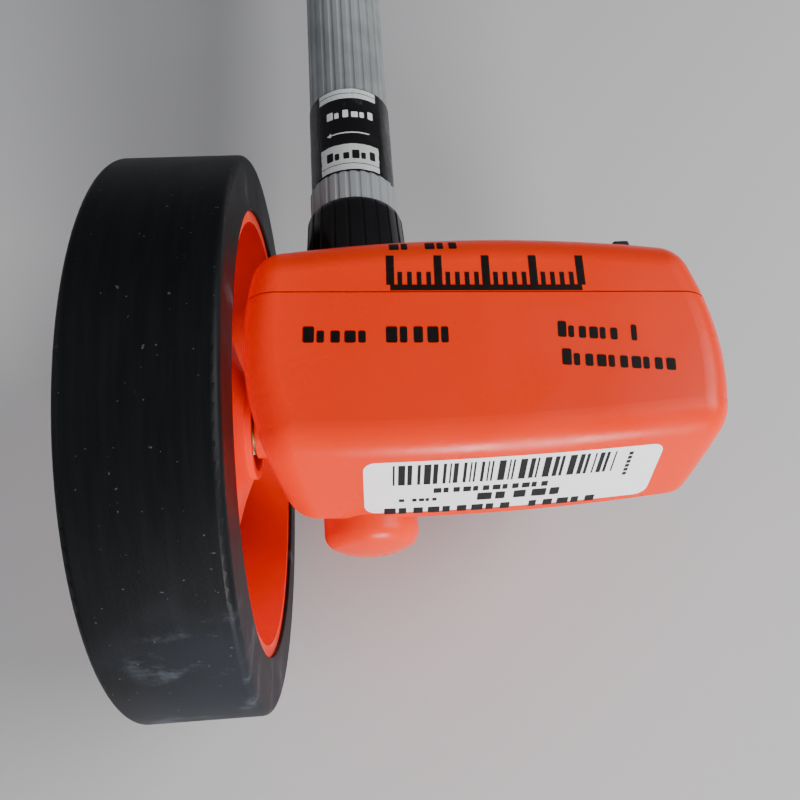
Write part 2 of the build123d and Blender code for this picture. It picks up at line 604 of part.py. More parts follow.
for carry in range(1, DRUM_COUNT):
    with BuildPart() as transfer_pinion:
        with BuildSketch(square_to_axle(DRUM_X0 + carry * DRUM_PITCH - CARRY_BACK, COUNTER_Y, TRANSFER_Z)):
            Polygon(*gear_points(TRANSFER_TEETH, CARRY_MODULE), align=None)
            Circle(TRANSFER_R + RUN, mode=Mode.SUBTRACT)
        extrude(amount=CARRY_FACE)
    save(transfer_pinion.part, f"transfer_pinion_{carry}")


# ---- the handle's pieces -------------------------------------------------------------------
def fluted_tube(y0, y1, r):
    """Thin tube along the handle with shallow flutes all round."""
    with BuildPart() as tube:
        with BuildSketch(square_to_handle(y0)):
            Circle(r)
            with PolarLocations(r + FLUTE_R - FLUTE_DEPTH, FLUTE_COUNT):
                Circle(FLUTE_R, mode=Mode.SUBTRACT)
            Circle(r - TUBE_T, mode=Mode.SUBTRACT)
        extrude(amount=y1 - y0)
    return tube.part


with BuildPart() as lower_tube:
    add(fluted_tube(TUBE_Y0[0], TUBE_Y1[0], TUBE_R[0]))
    with BuildSketch(Plane.XY.offset(AXLE_Z - SOCKET_R)):
        with Locations((HANDLE_X, PIN_Y)):
            Circle(PIN_R)
    extrude(amount=2 * SOCKET_R, mode=Mode.SUBTRACT)
save(lower_tube.part, TUBE_NAMES[0])

for name, y0, y1, r in list(zip(TUBE_NAMES, TUBE_Y0, TUBE_Y1, TUBE_R))[1:]:
    save(fluted_tube(y0, y1, r), name)

with BuildPart() as socket_pin:
    with BuildSketch(Plane.XY.offset(AXLE_Z - SOCKET_R + 0.6)):
        with Locations((HANDLE_X, PIN_Y)):
            Circle(PIN_R)
    extrude(amount=2 * SOCKET_R - 1.2)
    chamfer(socket_pin.edges(), 0.3)
save(socket_pin.part, "socket_pin")

COLLAR_EDGE_Y = COLLAR_Y1 - COLLAR_SHOULDER
COLLAR_SLOPE = atan((COLLAR_R - COLLAR_TOP_R) / (COLLAR_EDGE_Y - COLLAR_TAPER_Y))


def groove_plane(groove):
    """Start of one of the collar's grooves; the plane faces along the collar's tapering side."""
    turn = 2 * pi * groove / COLLAR_GROOVES
    r = COLLAR_R + GROOVE_RUN_OUT * tan(COLLAR_SLOPE) + GROOVE_R - GROOVE_DEPTH
    start = (HANDLE_X + r * cos(turn), COLLAR_TAPER_Y - GROOVE_RUN_OUT, AXLE_Z + r * sin(turn))
    inward = sin(COLLAR_SLOPE)
    return Plane(origin=start, x_dir=(-sin(turn), 0, cos(turn)),
                 z_dir=(-inward * cos(turn), cos(COLLAR_SLOPE), -inward * sin(turn)))


with BuildPart() as handle_collar:
    with BuildSketch(handle_profile()):
        with BuildLine():
            Polyline((TUBE_R[0], SOCKET_TOP), (COLLAR_R, SOCKET_TOP), (COLLAR_R, COLLAR_TAPER_Y),
                     (COLLAR_TOP_R, COLLAR_EDGE_Y))
            ThreePointArc((COLLAR_TOP_R, COLLAR_EDGE_Y), (COLLAR_TOP_R - 0.36, COLLAR_Y1 - 1.35),
                          (FERRULE_R + 0.2, COLLAR_Y1))
            Polyline((FERRULE_R + 0.2, COLLAR_Y1), (TUBE_R[0], COLLAR_Y1), (TUBE_R[0], SOCKET_TOP))
        make_face()
    revolve(axis=HANDLE)
    with BuildSketch(*[groove_plane(groove) for groove in range(COLLAR_GROOVES)]):
        Circle(GROOVE_R)
    extrude(amount=COLLAR_Y1 - COLLAR_TAPER_Y + GROOVE_RUN_OUT + 1, mode=Mode.SUBTRACT)
save(handle_collar.part, "handle_collar")

FERRULE_FLUTE_DEPTH = 0.35
with BuildPart() as tube_ferrule:
    with BuildSketch(square_to_handle(COLLAR_Y1)):
        Circle(FERRULE_R)
        with PolarLocations(FERRULE_R + FLUTE_R - FERRULE_FLUTE_DEPTH, FLUTE_COUNT):
            Circle(FLUTE_R, mode=Mode.SUBTRACT)
        Circle(TUBE_R[0], mode=Mode.SUBTRACT)
    extrude(amount=FERRULE_Y1 - COLLAR_Y1)
save(tube_ferrule.part, "tube_ferrule")

save(ring_along_y(LABEL_Y0, LABEL_Y1, TUBE_R[0] + LABEL_T, TUBE_R[0]), "foil_label")

SKIRT_T, SKIRT_L, LIP_H, SLIDE_GAP = 0.8, 6.0, 1.2, 0.15
for stage in range(3):
    skirt, top, slide = TUBE_R[stage] + SKIRT_T, TUBE_Y1[stage], TUBE_R[stage + 1] + SLIDE_GAP
    with BuildPart() as end_ring:
        with BuildSketch(handle_profile()):
            with BuildLine():
                Polyline((TUBE_R[stage], top - SKIRT_L), (skirt, top - SKIRT_L), (skirt, top + LIP_H / 2),
                         (skirt - LIP_H / 2, top + LIP_H), (slide, top + LIP_H), (slide, top),
                         (TUBE_R[stage], top), close=True)
            make_face()
        revolve(axis=HANDLE)
    save(end_ring.part, f"end_ring_{stage + 1}")

STUB_R = (4.0, 3.5, 3.0)
for stage in range(1, 4):
    y0, bore, stub = TUBE_Y0[stage], TUBE_R[stage] - TUBE_T, STUB_R[stage - 1]
    with BuildPart() as lock_plug:
        with BuildSketch(handle_profile()):
            with BuildLine():
                Polyline((0, y0 - 11.2), (stub + 1.4, y0 - 11.2), (stub + 1.4, y0 - 10), (stub, y0 - 10),
                         (stub, y0 - 2), (TUBE_R[stage] - 0.5, y0 - 2), (TUBE_R[stage] - 0.5, y0),
                         (bore, y0), (bore, y0 + 5), (0, y0 + 5), close=True)
            make_face()
        revolve(axis=HANDLE)
    save(lock_plug.part, f"lock_plug_{stage}")
    cam_r = TUBE_R[stage - 1] - TUBE_T - 0.3
    with BuildPart() as lock_cam:
        with BuildSketch(square_to_handle(y0 - 9.9)):
            Circle(cam_r)
            Circle(stub + RUN, mode=Mode.SUBTRACT)
            with Locations((cam_r - 1.0, 0)):
                Rectangle(4.0, 1.6, mode=Mode.SUBTRACT)
        extrude(amount=7.8)
    save(lock_cam.part, f"lock_cam_{stage}")

GROOVE_OFFSETS = (8.0, 13.0, 18.0)      # from each end of the grip
GROOVE_YS = [GRIP_Y0 + d for d in GROOVE_OFFSETS] + [TUBE_Y1[3] - d for d in GROOVE_OFFSETS]
with BuildPart() as grip:
    with BuildSketch(handle_profile()) as grip_section:
        with Locations(((GRIP_R + TUBE_R[3]) / 2, (GRIP_Y0 + TUBE_Y1[3]) / 2)):
            Rectangle(GRIP_R - TUBE_R[3], TUBE_Y1[3] - GRIP_Y0)
        fillet(grip_section.vertices().sort_by(Axis.Y).group_by(Axis.Y)[0].sort_by(Axis.X)[-1:], 3.0)
        for y in GROOVE_YS:
            with Locations((GRIP_R + 0.4, y)):
                Circle(1.2, mode=Mode.SUBTRACT)
    revolve(axis=HANDLE)
save(grip.part, "grip")

PLUG_R, PLUG_L = TUBE_R[3] - TUBE_T, 12.0
LANYARD_RISE = 7.6
DOME_Y = TUBE_Y1[3] + CAP_EDGE
with BuildPart() as end_cap:
    with BuildSketch(handle_profile()):
        with BuildLine():
            Polyline((0, TUBE_Y1[3] - PLUG_L), (PLUG_R, TUBE_Y1[3] - PLUG_L), (PLUG_R, TUBE_Y1[3]),
                     (GRIP_R, TUBE_Y1[3]), (GRIP_R, DOME_Y))
            ThreePointArc((GRIP_R, DOME_Y), (GRIP_R / 2, CAP_Y1 - dome_point(GRIP_R, CAP_Y1 - DOME_Y)),
                          (0, CAP_Y1))
            Line((0, CAP_Y1), (0, TUBE_Y1[3] - PLUG_L))
        make_face()
    revolve(axis=HANDLE)
    with BuildSketch(square_to_handle(DOME_Y)):
        for turn in (1, -1):
            with Locations((0, turn * (TONGUE_T / 2 + 10))):
                Rectangle(40, 20)
    extrude(amount=30, mode=Mode.SUBTRACT)
    with BuildSketch(Plane.XY.offset(AXLE_Z - TONGUE_T)):
        with Locations((HANDLE_X, TUBE_Y1[3] + LANYARD_RISE)):
            Circle(LANYARD_R)
    extrude(amount=2 * TONGUE_T, mode=Mode.SUBTRACT)
save(end_cap.part, "end_cap")
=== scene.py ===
import json
import math

import bmesh
import bpy
from mathutils import Matrix, Vector
from mathutils.bvhtree import BVHTree


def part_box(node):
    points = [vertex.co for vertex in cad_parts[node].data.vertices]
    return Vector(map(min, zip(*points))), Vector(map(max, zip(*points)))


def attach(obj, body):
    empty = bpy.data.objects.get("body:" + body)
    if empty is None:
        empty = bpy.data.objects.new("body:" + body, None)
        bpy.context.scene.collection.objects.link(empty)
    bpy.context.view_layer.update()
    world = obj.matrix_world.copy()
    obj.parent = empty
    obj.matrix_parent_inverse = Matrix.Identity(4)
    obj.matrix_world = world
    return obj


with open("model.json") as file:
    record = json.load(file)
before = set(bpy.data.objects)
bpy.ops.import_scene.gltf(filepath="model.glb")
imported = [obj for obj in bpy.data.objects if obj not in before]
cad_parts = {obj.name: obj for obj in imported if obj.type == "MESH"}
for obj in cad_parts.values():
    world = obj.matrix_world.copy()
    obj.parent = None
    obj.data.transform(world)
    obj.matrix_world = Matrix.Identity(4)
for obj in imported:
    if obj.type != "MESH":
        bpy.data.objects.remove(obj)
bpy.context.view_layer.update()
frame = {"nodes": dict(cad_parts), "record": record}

MM = 0.001
NODES = frame["nodes"]

# ---- places read from the frame ------------------------------------------------------------
TYRE_LOW, TYRE_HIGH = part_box("tyre")
WHEEL_R = (TYRE_HIGH.z - TYRE_LOW.z) / 2
AXLE_Z = TYRE_LOW.z + WHEEL_R
TUBE_LOW, TUBE_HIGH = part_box("lower_tube")
HANDLE_X = (TUBE_LOW.x + TUBE_HIGH.x) / 2
FRONT_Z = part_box("housing_body")[1].z
DRUM_LOW, DRUM_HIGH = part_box("digit_drum_1")
DRUM_R = (DRUM_HIGH.z - DRUM_LOW.z) / 2
COUNTER_Y = (DRUM_LOW.y + DRUM_HIGH.y) / 2
LABEL_LOW, LABEL_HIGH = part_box("foil_label")
LABEL_R = (LABEL_HIGH.x - LABEL_LOW.x) / 2


# ---- building blocks for materials ---------------------------------------------------------
MIX_FACTOR, MIX_A, MIX_B, MIX_RESULT = 0, 6, 7, 2     # the Mix node's sockets for colours
NOISE_LOW, NOISE_HIGH = 0.3, 0.7                      # most of a noise's values lie between these


class Shader:
    """A new material with short calls for its nodes; every call returns the node's output."""

    def __init__(self, name):
        self.material = bpy.data.materials.new(name)
        self.material.use_nodes = True
        self.tree = self.material.node_tree
        self.surface = self.tree.nodes["Principled BSDF"]
        self.place = self.tree.nodes.new("ShaderNodeTexCoord").outputs["Object"]

    def fill(self, socket, value):
        """Links an output to a socket, or sets the socket to a constant."""
        if isinstance(value, bpy.types.NodeSocket):
            self.tree.links.new(value, socket)
        else:
            socket.default_value = value

    def set(self, **values):
        """Sets sockets of the surface; a name's underscores stand for spaces."""
        for name, value in values.items():
            self.fill(self.surface.inputs[name.replace("_", " ")], value)

    def node(self, kind, **inputs):
        """A node with its inputs set by name; returns its first output."""
        node = self.tree.nodes.new("ShaderNode" + kind)
        for name, value in inputs.items():
            self.fill(node.inputs[name], value)
        return node.outputs[0]

    def math(self, operation, a, b=0.0):
        node = self.tree.nodes.new("ShaderNodeMath")
        node.operation = operation
        for socket, value in zip(node.inputs, (a, b)):
            self.fill(socket, value)
        return node.outputs[0]

    def noise(self, scale, detail=3.0, place=None, roughness=0.5):
        return self.node("TexNoise", Vector=place or self.place, Scale=scale, Detail=detail,
                         Roughness=roughness)

    def stretch(self, scale, place=None):
        return self.node("Mapping", Vector=place or self.place, Scale=scale)

    def band(self, value, low, high, from_value=0.0, to_value=1.0):
        """Maps a value smoothly from low..high to from_value..to_value."""
        node = self.tree.nodes.new("ShaderNodeMapRange")
        node.interpolation_type = "SMOOTHSTEP"
        ends = {"Value": value, "From Min": low, "From Max": high, "To Min": from_value, "To Max": to_value}
        for name, number in ends.items():
            self.fill(node.inputs[name], number)
        return node.outputs[0]

    def vary(self, noise, low, high):
        """Spreads a noise over low..high."""
        return self.band(noise, NOISE_LOW, NOISE_HIGH, low, high)

    def mix(self, factor, a, b):
        """Mixes two colours, each an (r, g, b) tuple or an output."""
        node = self.tree.nodes.new("ShaderNodeMix")
        node.data_type = "RGBA"
        self.fill(node.inputs[MIX_FACTOR], factor)
        for index, colour in ((MIX_A, a), (MIX_B, b)):
            self.fill(node.inputs[index], (*colour, 1.0) if isinstance(colour, tuple) else colour)
        return node.outputs[MIX_RESULT]

    def bump(self, height, distance, strength, normal=None):
        """Bump over an earlier normal, if there is one."""
        below = {} if normal is None else {"Normal": normal}
        return self.node("Bump", Height=height, Distance=distance, Strength=strength, **below)

    def axes(self):
        """The place's x, y and z."""
        node = self.tree.nodes.new("ShaderNodeSeparateXYZ")
        self.tree.links.new(self.place, node.inputs[0])
        return node.outputs

    def around_axle(self):
        """Place on the unrolled tyre: along the axle, along the circumference, and the radius."""
        x, y, z = self.axes()
        up = self.math("SUBTRACT", z, AXLE_Z)
        angle = self.math("ARCTAN2", y, up)
        far = self.math("SQRT", self.math("ADD", self.math("MULTIPLY", y, y), self.math("MULTIPLY", up, up)))
        return self.node("CombineXYZ", X=x, Y=self.math("MULTIPLY", angle, WHEEL_R), Z=far)


def moulded(name, colour, shade, roughness, scuff, grain=0.00003, glow=0.0, shine=0.5):
    """Moulded plastic: slight colour drift, fine grain, a few pale hairline scuffs."""
    s = Shader(name)
    drift = s.noise(22.0, 2.0)
    base = s.mix(s.band(drift, 0.35, 0.65), colour, shade)
    hairs = s.noise(38.0, 6.0, s.stretch((3.0, 34.0, 9.0)), 0.7)
    more_hairs = s.noise(45.0, 6.0, s.stretch((30.0, 4.0, 6.0)), 0.7)
    marks = s.band(s.math("MAXIMUM", hairs, more_hairs), 0.70, 0.80, 0.0, scuff)
    pale = tuple(min(1.0, c * 1.15 + 0.08) for c in colour)
    s.set(Base_Color=s.mix(marks, base, pale), Specular_IOR_Level=shine)
    s.set(Roughness=s.vary(s.noise(60.0, 4.0), roughness - 0.06, roughness + 0.08))
    fine = s.noise(2600.0, 2.0)
    wave = s.noise(90.0, 2.0)
    s.set(Normal=s.bump(fine, grain, 0.6, s.bump(wave, 0.00012, 0.35)))
    if glow:
        s.set(Subsurface_Weight=glow, Subsurface_Scale=0.004, Subsurface_Radius=(1.0, 0.35, 0.1))
    return s.material


def tyre_rubber():
    """Smooth black rubber: painted bluish sheen in clouds, pale smudges and specks, faint mould lines all
    round.
    """
    s = Shader("tyre_rubber")
    place = s.around_axle()
    streaks = s.noise(60.0, 6.0, s.stretch((9.0, 0.7, 3.0), place), 0.65)
    cloud = s.noise(17.0, 3.0, place, 0.55)
    smudge = s.noise(48.0, 6.0, s.stretch((1.0, 1.6, 1.0), place), 0.72)
    specks = s.noise(900.0, 1.0, place)
    base = s.mix(s.band(streaks, 0.3, 0.8), (0.0030, 0.0033, 0.0040), (0.0058, 0.0062, 0.0072))
    # painted sheen: bluish clouds laid over the black, standing in for the rubber's reflection
    with_painted_sheen = s.mix(s.band(cloud, 0.44, 0.64, 0.0, 0.9), base, (0.0130, 0.0155, 0.0210))
    patch = s.math("MULTIPLY", s.band(cloud, 0.46, 0.60), s.band(smudge, 0.54, 0.68))
    smudged = s.mix(s.math("MULTIPLY", patch, 0.7), with_painted_sheen, (0.075, 0.085, 0.100))
    s.set(Base_Color=s.mix(s.band(specks, 0.75, 0.80, 0.0, 0.5), smudged, (0.11, 0.115, 0.12)))
    s.set(Roughness=s.vary(cloud, 0.42, 0.58), Specular_IOR_Level=0.15)
    grain = s.noise(1500.0, 3.0)
    s.set(Normal=s.bump(grain, 0.00004, 0.6, s.bump(streaks, 0.00005, 0.4)))
    return s.material


def metal(name, colour, roughness, brushed=(1.0, 1.0, 1.0), noise_scale=500.0, metallic=1.0):
    """Metal with a brushed or turned grain, stretched by the three numbers."""
    s = Shader(name)
    lines = s.noise(noise_scale, 4.0, s.stretch(brushed), 0.6)
    cloud = s.noise(70.0, 3.0)
    dark = tuple(c * 0.78 for c in colour)
    s.set(Base_Color=s.mix(s.band(cloud, 0.35, 0.7), colour, dark), Metallic=metallic)
    s.set(Roughness=s.vary(lines, roughness - 0.07, roughness + 0.09))
    s.set(Normal=s.bump(lines, 0.00002, 0.5))
    return s.material


def grip_rubber():
    """Soft grip rubber with fine pores and worn, paler high spots."""
    s = Shader("grip_rubber")
    colour, roughness = (0.018, 0.018, 0.019), 0.65
    pores = s.node("TexVoronoi", Vector=s.place, Scale=900.0)
    cloud = s.noise(60.0, 4.0)
    worn = tuple(c * 2.4 + 0.01 for c in colour)
    s.set(Base_Color=s.mix(s.band(cloud, 0.45, 0.75, 0.0, 0.7), colour, worn))
    s.set(Roughness=s.vary(cloud, roughness - 0.1, roughness + 0.08))
    s.set(Normal=s.bump(pores, 0.00018, 0.8, s.bump(s.noise(250.0, 3.0), 0.0001, 0.5)))
    return s.material


# Silver areas of the foil: across from the tube's middle, and along the handle from the label's lower end.
FOIL_FRONT = (-0.0102, 0.0090)
FOIL_STRIP, FOIL_STRIP_LINE = (0.0298, 0.0338), (0.0318, 0.0321)
FOIL_FIELD, FOIL_FIELD_LINE = (0.0004, 0.0106), (0.0026, 0.0029)
FOIL_EDGE = 0.00006      # half the width over which an edge along or across fades
FRONT_EDGE = 0.0001      # half the width over which the print fades at the tube's sides


def foil_print():
    """Printed foil: black all round, with a silver strip and a silver field towards the front."""
    s = Shader("foil_print")
    x, y, z = s.axes()
    silver, black, pale = (0.86, 0.90, 0.90), (0.006, 0.006, 0.007), (0.88, 0.92, 0.91)
    fuzz = s.math("MULTIPLY", s.math("SUBTRACT", s.noise(300.0, 3.0), 0.5), 0.0006)
    along = s.math("ADD", y, fuzz)
    side = s.math("ADD", x, s.math("MULTIPLY", fuzz, 1.5))

    def between(value, start, span):
        """1 from start + span[0] to start + span[1], and 0 outside."""
        low, high = start + span[0], start + span[1]
        return s.math("MULTIPLY", s.band(value, low - FOIL_EDGE, low + FOIL_EDGE),
                      s.band(value, high - FOIL_EDGE, high + FOIL_EDGE, 1.0, 0.0))

    front = s.math("MULTIPLY", between(side, HANDLE_X, FOIL_FRONT),
                   s.band(z, AXLE_Z - FRONT_EDGE, AXLE_Z + FRONT_EDGE))
    strip, strip_line, field, field_line = (
        s.math("MULTIPLY", between(along, LABEL_LOW.y, span), front)
        for span in (FOIL_STRIP, FOIL_STRIP_LINE, FOIL_FIELD, FOIL_FIELD_LINE))
    colour = s.mix(strip, black, silver)
    colour = s.mix(field, colour, pale)
    colour = s.mix(s.math("MAXIMUM", strip_line, field_line), colour, (0.05, 0.05, 0.05))
    rub = s.band(s.noise(240.0, 5.0, s.stretch((1.0, 0.4, 1.0)), 0.7), 0.62, 0.76, 0.0, 0.5)
    colour = s.mix(s.math("MULTIPLY", rub, 0.5), colour, (0.20, 0.20, 0.20))
    s.set(Base_Color=colour, Metallic=s.math("MULTIPLY", s.math("MAXIMUM", strip, field), 0.35))
    s.set(Roughness=s.vary(s.noise(120.0, 4.0), 0.20, 0.34), Specular_IOR_Level=0.3)
    crease = s.noise(90.0, 2.0, s.stretch((3.0, 0.4, 3.0)))
    s.set(Normal=s.bump(s.noise(160.0, 3.0), 0.00020, 0.5, s.bump(crease, 0.0006, 0.6)))
    return s.material


def ink(name, colour, roughness=0.42, wear=0.25, fade=0.10, shine=0.5):
    """Printed ink that is a little thin in places."""
    s = Shader(name)
    thin = s.band(s.noise(900.0, 4.0), 0.55, 0.78, 0.0, wear)
    lighter = tuple(min(1.0, c + fade) for c in colour)
    s.set(Base_Color=s.mix(thin, colour, lighter), Specular_IOR_Level=shine)
    s.set(Roughness=s.vary(s.noise(700.0, 2.0), roughness - 0.06, roughness + 0.08))
    s.set(Normal=s.bump(s.noise(1800.0, 2.0), 0.00001, 0.5))
    return s.material


def paper_label():
    """Glossy white paper sticker with slight waves and handling marks."""
    s = Shader("paper_label")
    dirt = s.band(s.noise(180.0, 5.0), 0.58, 0.78, 0.0, 0.22)
    s.set(Base_Color=s.mix(dirt, (0.95, 0.95, 0.97), (0.76, 0.75, 0.74)))
    s.set(Roughness=s.vary(s.noise(90.0, 3.0), 0.34, 0.5))
    s.set(Normal=s.bump(s.noise(110.0, 3.0), 0.0002, 0.5, s.bump(s.noise(2400.0, 2.0), 0.00001, 0.5)))
    return s.material


def clear_window():
    """Clear moulded window with light scuffing."""
    s = Shader("clear_window")
    s.set(Base_Color=(0.96, 0.98, 0.98, 1.0), Transmission_Weight=1.0, IOR=1.49)
    s.set(Roughness=s.band(s.noise(300.0, 5.0, s.stretch((0.3, 1.0, 4.0))), 0.55, 0.8, 0.02, 0.22))
    s.set(Normal=s.bump(s.noise(60.0, 2.0), 0.00005, 0.4))
    return s.material


def pale_floor():
    """Plain pale sheet that the tool stands on."""
    s = Shader("pale_floor")
    s.set(Base_Color=s.mix(s.noise(3.0, 2.0), (0.49, 0.49, 0.50), (0.52, 0.52, 0.53)), Roughness=0.75)
    return s.material


LOOKS = {
    "tyre": tyre_rubber(),
    "orange_plastic": moulded("orange_housing", (0.90, 0.035, 0.0003), (0.86, 0.030, 0.0003),
                              roughness=0.32, scuff=0.05, glow=0.06, shine=0.22),
    "rim_plastic": moulded("orange_rim", (0.95, 0.030, 0.0004), (0.88, 0.024, 0.0003),
                           roughness=0.40, scuff=0.06, grain=0.00004, glow=0.06, shine=0.14),
    "black_plastic": moulded("black_gloss", (0.0055, 0.0055, 0.0065), (0.009, 0.009, 0.010),
                             roughness=0.20, scuff=0.04, grain=0.00002, shine=0.30),
    "black_matte": moulded("black_satin", (0.010, 0.010, 0.011), (0.016, 0.016, 0.017),
                           roughness=0.46, scuff=0.06, grain=0.00005, shine=0.35),
    "tube_metal": metal("fluted_tube", (0.36, 0.38, 0.39), roughness=0.42, brushed=(3.0, 0.12, 3.0),
                        noise_scale=420.0, metallic=0.40),
    "grey_plastic": moulded("grey_ferrule", (0.32, 0.345, 0.36), (0.27, 0.29, 0.305),
                            roughness=0.42, scuff=0.10, grain=0.00004),
    "foil": foil_print(),
    "steel": metal("turned_steel", (0.60, 0.60, 0.60), roughness=0.28, brushed=(0.4, 4.0, 4.0)),
    "zinc": metal("zinc_plate", (0.62, 0.62, 0.58), roughness=0.34, noise_scale=260.0),
    "bronze": metal("sintered_bronze", (0.52, 0.33, 0.14), roughness=0.42, noise_scale=1500.0),
    "acetal": moulded("natural_acetal", (0.78, 0.77, 0.72), (0.72, 0.71, 0.66), roughness=0.4, scuff=0.1),
    "drum_plastic": moulded("drum_black", (0.015, 0.015, 0.016), (0.022, 0.022, 0.023),
                            roughness=0.5, scuff=0.1),
    "clear": clear_window(),
    "grip_rubber": grip_rubber(),
}
SLOT_OF = {part["node"]: part["material_slot"] for part in frame["record"]["subparts"]}
for name, node in NODES.items():
    node.data.materials.clear()
    node.data.materials.append(LOOKS[SLOT_OF[name]])

PRINT_INK = ink("print_black", (0.006, 0.004, 0.004), roughness=0.5, wear=0.2, fade=0.02, shine=0.15)
LABEL_INK = ink("label_black", (0.008, 0.008, 0.009), roughness=0.5, wear=0.2, fade=0.03, shine=0.2)
FOIL_INK = ink("label_white", (0.82, 0.82, 0.82))
WHITE_FIGURE = ink("figure_white", (0.82, 0.82, 0.80))
RED_FIGURE = ink("figure_red", (0.62, 0.02, 0.015))
PAPER = paper_label()


# ---- building blocks for pieces ------------------------------------------------------------
PRINT_T = 0.00005        # thickness of a print
PRINT_CELL = 0.0015      # a print is cut into cells this wide, so that it follows the surface
WIDE_CELL = 0.004        # for prints on the sticker, which bends little
FIGURE_CELL = 0.0012     # for the figures on the small drums
SUNK = 0.2               # how deep a print's back lies below its place, of its thickness
RAY_START = 0.02         # rays towards the housing start this far outside a patch


def add(name, data):
    """A new object in the scene."""
    obj = bpy.data.objects.new(name, data)
    bpy.context.scene.collection.objects.link(obj)
    return obj


def tree_of(*names):
    """Ray-casting tree over several CAD nodes."""
    verts, faces = [], []
    for name in names:
        start = len(verts)
        mesh = NODES[name].data
        verts += [v.co.copy() for v in mesh.vertices]
        faces += [[start + i for i in p.vertices] for p in mesh.polygons]
    return BVHTree.FromPolygons(verts, faces)


SKIN = tree_of("housing_body", "housing_cover")


class Patch:
    """A flat coordinate patch outside the housing; prints are laid through it onto the surface."""

    def __init__(self, origin, right, up):
        self.origin, self.right, self.up = Vector(origin), Vector(right).normalized(), Vector(up).normalized()
        self.inward = -self.right.cross(self.up)

    def land(self, u, v, lift):
        """The spot on the housing at (u, v), raised by lift, and the normal there."""
        start = self.origin + self.right * u + self.up * v - self.inward * RAY_START
        hit, normal, _, _ = SKIN.ray_cast(start, self.inward)
        if normal.dot(self.inward) > 0:
            normal = -normal
        return hit + normal * lift, normal


def wrapped(name, flat, place, material, body, thickness=PRINT_T, cell=PRINT_CELL):
    """Solid print: a flat bmesh in (u, v) metres, cut into cells and carried to a surface by place(u, v)."""
    for k, across in enumerate(((1, 0, 0), (0, 1, 0))):
        low = min(v.co[k] for v in flat.verts)
        high = max(v.co[k] for v in flat.verts)
        count = int((high - low) / cell)
        for i in range(1, count + 1):
            at = low + (high - low) * i / (count + 1)
            bmesh.ops.bisect_plane(flat, geom=flat.verts[:] + flat.edges[:] + flat.faces[:],
                                   plane_co=[at * c for c in across], plane_no=across)
    for face in flat.faces:
        if face.normal.z < 0:
            face.normal_flip()
    made = bmesh.ops.extrude_face_region(flat, geom=flat.faces[:])
    for item in made["geom"]:
        if isinstance(item, bmesh.types.BMVert):
            item.co.z = 1.0      # marks the copy that becomes the outer face
    for vert in flat.verts:
        spot, normal = place(vert.co.x, vert.co.y)
        vert.co = spot + normal * (thickness if vert.co.z > 0.5 else -thickness * SUNK)
    bmesh.ops.recalc_face_normals(flat, faces=flat.faces[:])
    mesh = bpy.data.meshes.new(name)
    flat.to_mesh(mesh)
    flat.free()
    mesh.materials.append(material)
    obj = add(name, mesh)
    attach(obj, body)


def flat_shape(outlines):
    """Flat bmesh with one face for each closed outline of (u, v) points."""
    bm = bmesh.new()
    for outline in outlines:
        bm.faces.new([bm.verts.new((u, v, 0)) for u, v in outline])
    bm.normal_update()
    return bm


def laid(name, patch, outlines, lift, material, cell=PRINT_CELL):
    """Thin print of closed outlines, wrapped onto the housing through a patch."""
    wrapped(name, flat_shape(outlines), lambda u, v: patch.land(u, v, lift), material, "root", cell=cell)


def box_outline(u0, v0, u1, v1):
    return [(u0, v0), (u1, v0), (u1, v1), (u0, v1)]


def rounded_outline(u0, v0, u1, v1, r, steps=6):
    corners = ((u1 - r, v0 + r, -90), (u1 - r, v1 - r, 0), (u0 + r, v1 - r, 90), (u0 + r, v0 + r, 180))
    points = []
    for cu, cv, start in corners:
        for i in range(steps + 1):
            a = math.radians(start + 90 * i / steps)
            points.append((cu + r * math.cos(a), cv + r * math.sin(a)))
    return points


BLOCK_WIDTHS = (0.80, 0.52, 0.66)                      # in turn, of a block's step
LOW_BLOCK, BLOCK_CORNER, CORNER_STEPS = 0.74, 0.10, 3  # the first two are shares of a tall block's height


def blocks(u0, v0, step, height, pattern):
    """Row of plain rounded blocks: X a tall one, x a low one, a blank leaves a gap."""
    outlines = []
    for i, kind in enumerate(pattern):
        if kind != " ":
            left, right = u0 + i * step, u0 + (i + BLOCK_WIDTHS[i % len(BLOCK_WIDTHS)]) * step
            top = v0 + height * (1.0 if kind == "X" else LOW_BLOCK)
            outlines.append(rounded_outline(left, v0, right, top, BLOCK_CORNER * height, CORNER_STEPS))
    return outlines


def tilted(outlines, pivot, degrees):
    """Outlines turned about a pivot."""
    cosine, sine = math.cos(math.radians(degrees)), math.sin(math.radians(degrees))
    pu, pv = pivot
    return [[(pu + (u - pu) * cosine - (v - pv) * sine, pv + (u - pu) * sine + (v - pv) * cosine)
             for u, v in outline] for outline in outlines]


# ---- prints on the housing's front ---------------------------------------------------------
FRONT = Patch((0, 0, FRONT_Z), (1, 0, 0), (0, 1, 0))
PRINT_LIFT = 0.03 * MM
RULER_LOW, RULER_HIGH = (0.0535, 0.0245), (0.1055, 0.0353)     # its corners in (u, v)
RULER_TILT, RULER_TICKS = -2.5, 20
RULER_BASE = 1.7 * MM
LONG_TICK, SHORT_TICK = (1.0, 1.05 * MM), (0.52, 0.6 * MM)     # share of the full height, half the width
FRONT_ROWS = {
    # each row: u, v, step, height, pattern, and the degrees it is tilted by
    "front_top_blocks": ((0.0540, 0.0375, 0.0033, 0.0030, "XX XXX", -1.5),),
    "front_left_blocks": ((0.0298, 0.0103, 0.00361, 0.0046, "Xxxxx XXXXX", -2.7),),
    "front_right_blocks": ((0.0968, 0.0088, 0.0028, 0.0046, "Xxxxxx X", -6.0),
                           (0.0968, 0.0008, 0.00305, 0.0046, "Xxxxxxxxxx", -6.0)),
}


